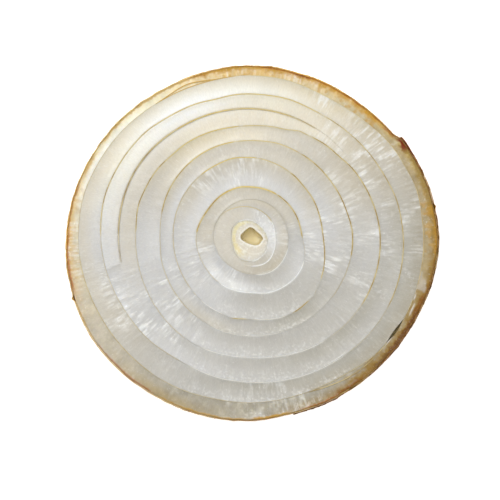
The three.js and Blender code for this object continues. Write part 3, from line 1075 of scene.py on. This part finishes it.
def buildHeart():
    # From the middle of the bottom out, up the outer wall, in over the top, and down the hollow to its
    # floor. The two ends are single points, closed with fans.
    columns = heart["columns"]
    theta = (np.arange(columns) / columns * fullTurn)[:, None]
    outer = border(7, theta) - seamHalf(7, theta)
    mouth = hollowAt(theta)
    width = outer - mouth
    edge, rim, top = heart["edge"], heart["rim"], heart["top"]
    quarter = np.linspace(0, math.pi / 2, heart["curveRows"] + 1)[None, :]
    share = np.linspace(0, 1, heart["topRows"])[None, :]
    bottomRadius = outer * np.linspace(0.06, 0.97, heart["bottomRows"])[None, :]
    cornerRadius = outer - edge * (1 - np.sin(quarter[:, 1:]))
    wallRadius = outer + np.zeros((1, heart["outerRows"]))
    shoulderRadius = outer - edge * (1 - np.cos(quarter))
    topRadius = (outer - edge) - (width - edge - rim) * share[:, 1:]
    rimRadius = mouth + rim * (1 - np.sin(quarter[:, 1:]))
    down = np.linspace(0, 1, heart["hollowRows"])[None, :]
    hollowRadius = mouth * (1 - 0.16 * down[:, 1:] - 0.8 * ease(0.55, 1.0, down[:, 1:]) ** 1.4)
    outside = [bottomRadius, cornerRadius, wallRadius, shoulderRadius]
    radius = np.concatenate(outside + [topRadius, rimRadius, hollowRadius], 1)

    ones = np.ones_like(theta)
    heights = [
        np.zeros(heart["bottomRows"]), edge * (1 - np.cos(quarter[0, 1:])),
        np.linspace(edge, top - edge, heart["outerRows"] + 2)[1:-1],
        top - edge + edge * np.sin(quarter[0]), top + np.zeros(heart["topRows"] - 1),
        top - rim * (1 - np.cos(quarter[0, 1:])),
        top - rim - (heart["hollowDepth"] - rim) * np.sin(down[0, 1:] * math.pi / 2),
    ]
    height = ones * np.concatenate(heights)[None, :]
    firstTop = heart["bottomRows"] + heart["outerRows"] + 2 * heart["curveRows"] + 1
    lastTop = firstTop + heart["topRows"] - 1
    onTop = np.zeros(radius.shape[1])
    onTop[firstTop:lastTop] = np.sin(share[0, 1:] * math.pi)
    rowTheta = np.broadcast_to(theta, radius.shape)
    large = patches(heart["seed"], rowTheta, radius, 0.7, heart["meanRadius"])
    small = patches(heart["seed"] + 1, rowTheta, radius, 0.35, heart["meanRadius"])
    lumps = large + small - 1
    height = height + onTop * (0.09 * lumps - 0.03)
    radius = radius * girth(height)

    # tints: pale yellow along the outer edge except at the lower right, a nearly white lip round the
    # mouth, and khaki down in the hollow
    across = np.clip((radius / girth(height) - mouth) / width, 0, 1)
    inside = np.arange(radius.shape[1])[None, :] >= lastTop + 2
    fromMouth = across * width
    tint = np.broadcast_to(mix(tones["oyster"], tones["cream"], 0.3 * ones), radius.shape + (3,))
    yellow = spans(rowTheta, [(330, 262, 1)], 40) * (0.55 + 0.45 * spans(rowTheta, [(95, 250, 1)], 30))
    band = ease(0.42, 0.72, across) * (1 - ease(0.9, 1.0, across))
    tint = mix(tint, tones["lemon"], 0.85 * yellow * band)
    deep = spans(rowTheta, [(165, 250, 1)], 25) * band
    tint = mix(tint, tones["honey"], 0.18 * deep)
    tint = mix(tint, tones["snow"], 0.6 * ease(0.9, 0.99, across))
    lip = 1 - ease(0.2, 0.5, fromMouth)
    tint = mix(tint, tones["snow"], 0.7 * lip * (1 - inside))
    line = np.exp(-((fromMouth - 1.5 - 0.5 * bump(rowTheta, 270, 40)) / 0.12) ** 2)
    line = line * spans(rowTheta, [(200, 350, 1)], 20)
    tint = mix(tint, tones["snow"], 0.5 * line)
    fleck = ease(0.6, 0.9, patches(heart["seed"] + 2, rowTheta, radius, 0.3, heart["meanRadius"]))
    tint = mix(tint, tones["white"], 0.3 * fleck * (1 - inside))
    depth = np.clip((top - rim - height) / 2.0, 0, 1)
    shadow = 0.6 * spans(rowTheta, [(190, 275, 1)], 25) * (1 - ease(0.2, 0.6, depth))
    tint = mix(tint, mix(tones["khaki"], tones["gold"], shadow), inside * ease(0.0, 0.15, depth))
    milkAndGlint = np.broadcast_to(0.3 * fleck * (1 - inside), radius.shape)

    points = polarPoints(rowTheta, radius, height)
    rows = radius.shape[1]
    low = np.array([[0.0, 0.0, 0.0]])
    floor = np.array([[0.0, 0.0, height[:, -1].mean() - 0.02]])
    allPoints = np.concatenate([points.reshape(-1, 3), low, floor])
    i = np.arange(columns)
    following = (i + 1) % columns
    quads = sheetFaces(columns, rows, False)[:, ::-1]
    lowPoint = columns * rows
    floorPoint = lowPoint + 1
    lowFan = np.stack([0 * i + lowPoint, following * rows, i * rows], -1)
    lastRow = rows - 1
    floorFan = np.stack([0 * i + floorPoint, i * rows + lastRow, following * rows + lastRow], -1)

    def withEnds(values):
        # the two end points take the first and the last value
        flat = values.reshape((-1,) + values.shape[2:])
        return np.concatenate([flat, flat[:1], flat[-1:]])

    grain = polarField(rowTheta, radius + height, heart["meanRadius"])
    fields = {"tint": withEnds(tint), "grain": withEnds(grain), "milkAndGlint": withEnds(milkAndGlint)}
    faces = [quads, lowFan, floorFan]
    addPiece("heartLeaf", allPoints, faces, heartFlesh, ["heart_leaf"], fields)


buildHeart()
print("made the heart leaf")


leathery = dict(
    commonRing, innerSeam=0, meanRadius=37.0, topRows=23, top=8.75, seed=97, dish=0.12, wallRows=8,
    # its tones are partly its own colour and partly painted light: lighter over the upper left and darker
    # towards the lower right
    inTones="fawn fawn sand honey wax snow butter oat stone stone stone fawn",
    outTones="tan straw honey honey wax wax honey oat fawn stone tan tan",
    fibreAndGlintSpans=[(60, 110, 0.8), (165, 200, 0.8), (255, 300, 0.6)],
    beadAndGlintSpans=[(170, 200, 1), (262, 296, 0.6)],
    blotchSpans=[(348, 20, 0.8), (35, 112, 1), (160, 200, 0.5)],  # gold
    paleSpans=[(338, 352, 1), (300, 318, 0.4)],
    strandSpans=[(318, 344, 1)],  # whitish threads along the flesh
    clear=0.05,  # between it and the skin
)

# stains that creep in from the skin: from, to, how far in, tone and strength
stains = [
    (300, 346, 2.4, "tan", 0.8), (296, 344, 1.1, "umber", 0.9), (306, 322, 2.0, "tan", 0.6),
    (311, 337, 0.9, "bark", 0.55),
    (340, 35, 1.3, "tan", 0.7), (340, 10, 0.5, "umber", 0.6), (20, 40, 1.2, "tan", 0.6),
    (38, 112, 1.1, "gold", 0.75), (40, 90, 0.3, "rust", 0.8), (34, 41, 0.9, "rust", 0.7),
    (44, 49, 1.6, "gold", 0.6),
    (28.5, 35, 1.1, "crimson", 0.95), (69, 77, 0.6, "crimson", 0.6), (104, 113, 0.5, "crimson", 0.7),
    (92, 150, 0.45, "gold", 0.7),
    (150, 162, 0.7, "gold", 0.6), (160, 184, 0.35, "rust", 0.6), (178, 199, 0.6, "rust", 0.8),
    (198, 215, 0.25, "gold", 0.6), (213, 239, 0.4, "rust", 0.7), (238, 270, 0.35, "gold", 0.7),
    (268, 284, 0.5, "gold", 0.9), (284, 300, 0.4, "rust", 0.7), (352, 8, 0.8, "gold", 0.5),
    (6, 11, 2.0, "gold", 0.6),
]


def buildLeathery():
    # tones and clouds first, then the stains, which creep in from the skin's side in ragged tongues
    ring = leathery

    def wallsAt(theta):
        # from the outer side of the seam under the scale to just short of the skin's inner side
        return border(0, theta) + seamHalf(0, theta), skinInner(theta) - ring["clear"]

    grid = ringGrid(ring, wallsAt)
    theta, share = grid["theta"], grid["share"]
    milkAndGlint = milkAndGlintOf(grid, ring)
    inner, outer = (toneRing(ring[side], theta) for side in ("inTones", "outTones"))
    tint = mix(inner, outer, ease(0.2, 0.9, share))
    cloud = 0.6 * patchOn(grid, ring, 8, 1.6) + 0.4 * patchOn(grid, ring, 13, 0.6)
    tint = tint * (0.84 + 0.34 * cloud[..., None])
    glassy = ease(0.5, 0.85, 0.6 * patchOn(grid, ring, 14, 0.9) + 0.4 * patchOn(grid, ring, 17, 0.35))
    glassy = glassy * (0.3 + spans(theta, [(255, 300, 1), (20, 130, 0.7)], 15))
    tint = mix(tint, tones["ivory"], 0.3 * glassy)
    blotch = ease(0.58, 0.8, patchOn(grid, ring, 15, 0.8)) * spans(theta, ring["blotchSpans"], 10)
    tint = mix(tint, tones["gold"], 0.55 * blotch)
    tint = mix(tint, tones["white"], 0.5 * milkAndGlint)
    depthIn = grid["width"] - grid["out"]
    for start, end, reach, tone, strength in stains:
        ragged = reach * (0.2 + 0.9 * patchOn(grid, ring, 9, 1.3) + 0.8 * patchOn(grid, ring, 10, 0.45))
        creep = 1 - ease(0.3, 1.0, depthIn / ragged)
        creep = strength * creep * spans(theta, [(start, end, 1)], min(4, (end - start) % 360 / 3))
        tint = mix(tint, tones[tone], creep)
        milkAndGlint = milkAndGlint * (1 - creep)
    side = grid["face"] == 0
    tint = mix(tint, tones["honey"], 0.8 * np.broadcast_to(side & (share > 0.5), share.shape))
    strands = ease(0.55, 0.8, strandOn(grid, ring, 12, (2.6, 0.5)))
    strands = strands * (1 - ease(0.4, 1.1, grid["out"])) * spans(theta, ring["strandSpans"], 5)
    tint = mix(tint, tones["white"], 0.7 * strands)
    pale = ease(0.5, 0.8, patchOn(grid, ring, 16, 1.1)) * spans(theta, ring["paleSpans"], 4)
    tint = mix(tint, tones["pearl"], 0.4 * pale * ease(0.2, 0.6, depthIn))
    tint = shadeLensGap(tint, grid, grid["out"])
    finishRing("leatheryScale", ring, grid, leather, ["leathery_scale"], tint, milkAndGlint)


skin = {
    "meanRadius": 38.6, "cell": 0.2, "topRows": 5, "wallRows": 29, "bottomRows": 3, "edge": 0.04,
    "bottom": 0.2, "top": 8.8, "thickness": 0.16, "seed": 131, "barbAt": 199,
    "patchRadius": 38,  # sets how many random patches fit round the slice
    "veins": (1.9, 16.0), "coarse": (1.7, 9.0), "fine": (0.5, 5.0),  # how far apart, and how long
    "veinHeight": 0.06, "coarseHeight": 0.06, "fineHeight": 0.03,
    "tones": "tan umber gold gold honey straw gold sand fawn tan tan umber",
    "sideTones": "umber gold straw gold gold umber",
}


torn = dict(
    skin, seed=171, thickness=0.13, bottom=0.5, top=8.5,
    tones="tan umber rust rust umber umber umber umber gold gold umber umber",
    sideTones="umber rust umber umber gold umber",
    start=-77, end=34, standOff=0.03, fullness=0.72, barbAt=9.5,
)


def chips(ring, offset, theta, size):
    # random values that change only round the slice, over steps about as wide as size
    return patches(ring["seed"] + offset, theta, 0 * theta, size, skin["patchRadius"])


def skinOuter(theta):
    # the frame's outline, with gentle puckers and nicks where the dry skin has shrunk, and fuller where
    # the torn skin still clings
    degrees = (np.degrees(theta) + 180) % 360 - 180
    full = ease(torn["start"] - 2, torn["start"] + 14, degrees)
    full = full * (1 - ease(torn["end"] - 1, torn["end"] + 3, degrees))
    uneven = 0.12 * (chips(skin, 0, theta, 5.0) - 0.5) + 0.12 * (chips(skin, 9, theta, 1.3) - 0.5)
    return around(skinRadii, theta) + uneven + torn["fullness"] * full


def skinInner(theta):
    # the outer side less the skin's thickness
    return skinOuter(theta) - skin["thickness"]


def streaks(ring, offset, theta, height, kind):
    # random streaks of one kind that run up the wall
    return fibres(ring["seed"] + offset, theta, height, *ring[kind], skin["patchRadius"])


def veinLines(ring, theta, height):
    # thin lines that wander up the wall: where slow streaks pass through their middle value
    return 1 - ease(0.0, 0.09, np.abs(streaks(ring, 7, theta, height, "veins") - 0.5))


def veinRelief(ring, theta, height):
    # veins from neck to root stand proud, between shallow puckers and finer streaks
    veins = ring["veinHeight"] * (veinLines(ring, theta, height) - 0.3)
    coarse = ring["coarseHeight"] * (streaks(ring, 0, theta, height, "coarse") - 0.5)
    return veins + coarse + ring["fineHeight"] * (streaks(ring, 1, theta, height, "fine") - 0.5)


def skinTint(ring, theta, height):
    # the side's tones, which turn into the rim's near the upper cut, darker along the veins, with
    # clouds of straw and umber
    side, rim = (toneRing(ring[key], theta) for key in ("sideTones", "tones"))
    tint = mix(side, rim, ease(7.6, 8.8, height))
    tint = mix(tint, tones["bark"], 0.4 * veinLines(ring, theta, height))
    large = patches(ring["seed"] + 5, theta, height, 4.5, skin["patchRadius"])
    small = patches(ring["seed"] + 6, theta, height, 1.2, skin["patchRadius"])
    cloud = 0.7 * large + 0.3 * small
    tint = mix(tint, tones["straw"], 0.4 * ease(0.5, 0.8, cloud))
    return mix(tint, tones["umber"], 0.4 * ease(0.5, 0.8, 1 - cloud))


def finishSkin(name, theta, radius, height, tint, faces, material, node):
    # the wall bellies as the bulb does, and the grain runs up it
    points = polarPoints(theta, radius * girth(height), height).reshape(-1, 3)
    grain = polarField(theta, height, skin["patchRadius"]).reshape(-1, 3)
    fields = {"tint": tint.reshape(-1, 3), "grain": grain}
    addPiece(name, points, faces, material, [node], fields)


def buildGoldenSkin():
    # a wall round the slice, chipped along its upper rim and less along its lower one, with a small barb
    ring = skin
    grid = ringGrid(ring, lambda theta: (skinInner(theta), skinOuter(theta)))
    theta, height = grid["theta"], grid["height"]
    lifted = (height - ring["bottom"]) / (ring["top"] - ring["bottom"])
    chipped = 0.35 * ease(0.62, 0.85, chips(ring, 3, theta, 0.8))
    ragged = 0.16 * (chips(ring, 4, theta, 0.4) - 0.5)
    height = height + (ragged - chipped) * ease(0.8, 1.0, lifted)
    height = height + 0.25 * chips(ring, 6, theta, 1.1) * (1 - ease(0.0, 0.15, lifted))
    push = veinRelief(ring, theta, height) * np.where(grid["share"] > 0.3, 1, 0.3)
    barb = 0.6 * bump(theta, ring["barbAt"], 0.7) * ease(0.86, 1.0, lifted)
    tint = skinTint(ring, theta, height)
    tint = mix(tint, tones["honey"], 0.9 * bump(theta, ring["barbAt"], 1.2) * ease(0.8, 0.95, lifted))
    radius = grid["radius"] + push + barb
    faces = [sheetFaces(*radius.shape)]
    finishSkin("goldenSkin", theta, radius, height, tint, faces, paper, "golden_skin")


def buildTornSkin():
    # a strip of wall that hugs the golden skin, torn low at its lower end and along its upper rim
    ring = torn
    start, end = ring["start"], ring["end"]

    def wallsAt(theta):
        # it curls away from the skin underneath near its torn ends
        degrees = np.degrees(theta)
        curl = 0.14 * ease(24, end, degrees) + 0.05 * (1 - ease(start, start + 14, degrees))
        inner = skinOuter(theta) + ring["standOff"] + curl
        return inner, inner + ring["thickness"]

    grid, faces = stripGrid(ring, start, end, wallsAt)
    theta, height = grid["theta"], grid["height"]
    lifted = (height - ring["bottom"]) / (ring["top"] - ring["bottom"])
    tear = 0.55 * chips(ring, 3, theta, 1.4) + 0.275 * chips(ring, 4, theta, 0.4)
    tear = tear + 2.5 * (1 - ease(start, start + 22, np.degrees(theta)))
    height = height - tear * ease(0.55, 1.0, lifted)
    height = height + 0.6 * chips(ring, 6, theta, 1.1) * (1 - ease(0.0, 0.3, lifted))
    push = veinRelief(ring, theta, height)
    barb = 0.45 * bump(theta, ring["barbAt"], 0.6) * ease(0.85, 1.0, lifted)
    fray = 0.22 * (chips(ring, 8, theta, 0.7) - 0.5) * ease(0.8, 1.0, lifted)
    tint = skinTint(ring, theta, height)
    uneven = patches(ring["seed"] + 10, theta, height, 1.2, skin["patchRadius"]) - 0.5
    rim = ease(0.72, 0.95, lifted - 0.3 * uneven)
    tint = mix(tint, tones["sand"], 0.6 * rim * spans(theta, [(9, 23, 1)], 5))
    tint = mix(tint, tones["crimson"], 0.9 * rim * spans(theta, [(25, 35, 1)], 3))
    tint = mix(tint, tones["gold"], 0.95 * bump(theta, ring["barbAt"], 1.0) * ease(0.6, 0.8, lifted))
    radius = grid["radius"] + push + barb + fray
    finishSkin("tornSkin", theta, radius, height, tint, faces, barkPaper, "torn_brown_skin")


buildLeathery()
buildGoldenSkin()
buildTornSkin()
print("made the leathery scale and the skins")


stage = {
    "floorSize": 3.0,
    "floorColour": (0.93, 0.93, 0.93, 1),
    "mottleColour": (0.9, 0.9, 0.9, 1),
    "floorGlow": 0.7,  # a light table's faint glow, so that the slice throws next to no shadow
    "cameraHeight": 0.9,
    "sliceTop": 0.009,
    "sensorWidth": 36,
    "viewWidth": 0.10725,  # how much of the surface the image takes in from side to side
    "lookAt": (-0.0004, -0.0015),
}


def buildStage():
    # a wide pale floor that glows faintly
    half = stage["floorSize"] / 2
    mesh = bpy.data.meshes.new("floor")
    corners = [(-half, -half, 0), (half, -half, 0), (half, half, 0), (-half, half, 0)]
    mesh.from_pydata(corners, [], [(0, 1, 2, 3)])
    floor = bpy.data.objects.new("floor", mesh)
    bpy.context.scene.collection.objects.link(floor)
    material, tree = newTree("paleFloor")
    place = addNode(tree, "ShaderNodeTexCoord").outputs["Object"]
    mottle = noise(tree, place, 40.0)
    colour = blendColour(tree, stage["floorColour"], stage["mottleColour"], mottle)
    glow = {"Emission Color": stage["floorColour"], "Emission Strength": stage["floorGlow"]}
    roughness = remap(tree, mottle, 0, 1, 0.7, 0.8)
    closeTree(tree, colour, roughness, bumped(tree, mottle, 0.02, 0.0001), glow)
    mesh.materials.append(material)


def addLamp(name, place, target, size, power, colour):
    # a round lamp turned so that its face looks from its place to the target
    light = bpy.data.lights.new(name, "AREA")
    light.shape = "DISK"
    light.size = size
    light.energy = power
    light.color = colour
    lamp = bpy.data.objects.new(name, light)
    lamp.location = place
    direction = np.array(target) - np.array(place)
    flat = math.hypot(direction[0], direction[1])
    turn = math.atan2(direction[1], direction[0]) - math.pi / 2
    lamp.rotation_euler = (math.atan2(flat, -direction[2]), 0, turn)
    bpy.context.scene.collection.objects.link(lamp)


# each lamp's name, place, size, power and colour
lamps = [
    ("keyLamp", (-0.30, 0.46, 0.86), 0.5, 5.0, (1.0, 0.99, 0.965)),
    ("topLamp", (0.15, 0.0, 1.3), 1.1, 4.5, (1.0, 1.0, 1.0)),
]
worldLight = 0.5


def buildLight():
    # the two lamps and the even light of the room
    for name, place, size, power, colour in lamps:
        addLamp(name, place, (0, 0, 0), size, power, colour)
    world = bpy.data.worlds.new("studio")
    world.use_nodes = True
    background = world.node_tree.nodes["Background"]
    background.inputs["Color"].default_value = (1, 1, 1, 1)
    background.inputs["Strength"].default_value = worldLight
    bpy.context.scene.world = world
    bpy.context.scene.view_settings.view_transform = "Standard"


def buildCamera():
    # straight above, with a lens as long as it takes to see the view width from there
    camera = bpy.data.cameras.new("overhead")
    distance = stage["cameraHeight"] - stage["sliceTop"]
    camera.sensor_width = stage["sensorWidth"]
    camera.lens = stage["sensorWidth"] * distance / stage["viewWidth"]
    camera.clip_start = 0.01
    body = bpy.data.objects.new("overhead", camera)
    x, y = stage["lookAt"]
    body.location = (x, y, stage["cameraHeight"])
    bpy.context.scene.collection.objects.link(body)
    bpy.context.scene.camera = body


buildStage()
buildLight()
buildCamera()
print("stage, lights and camera set")
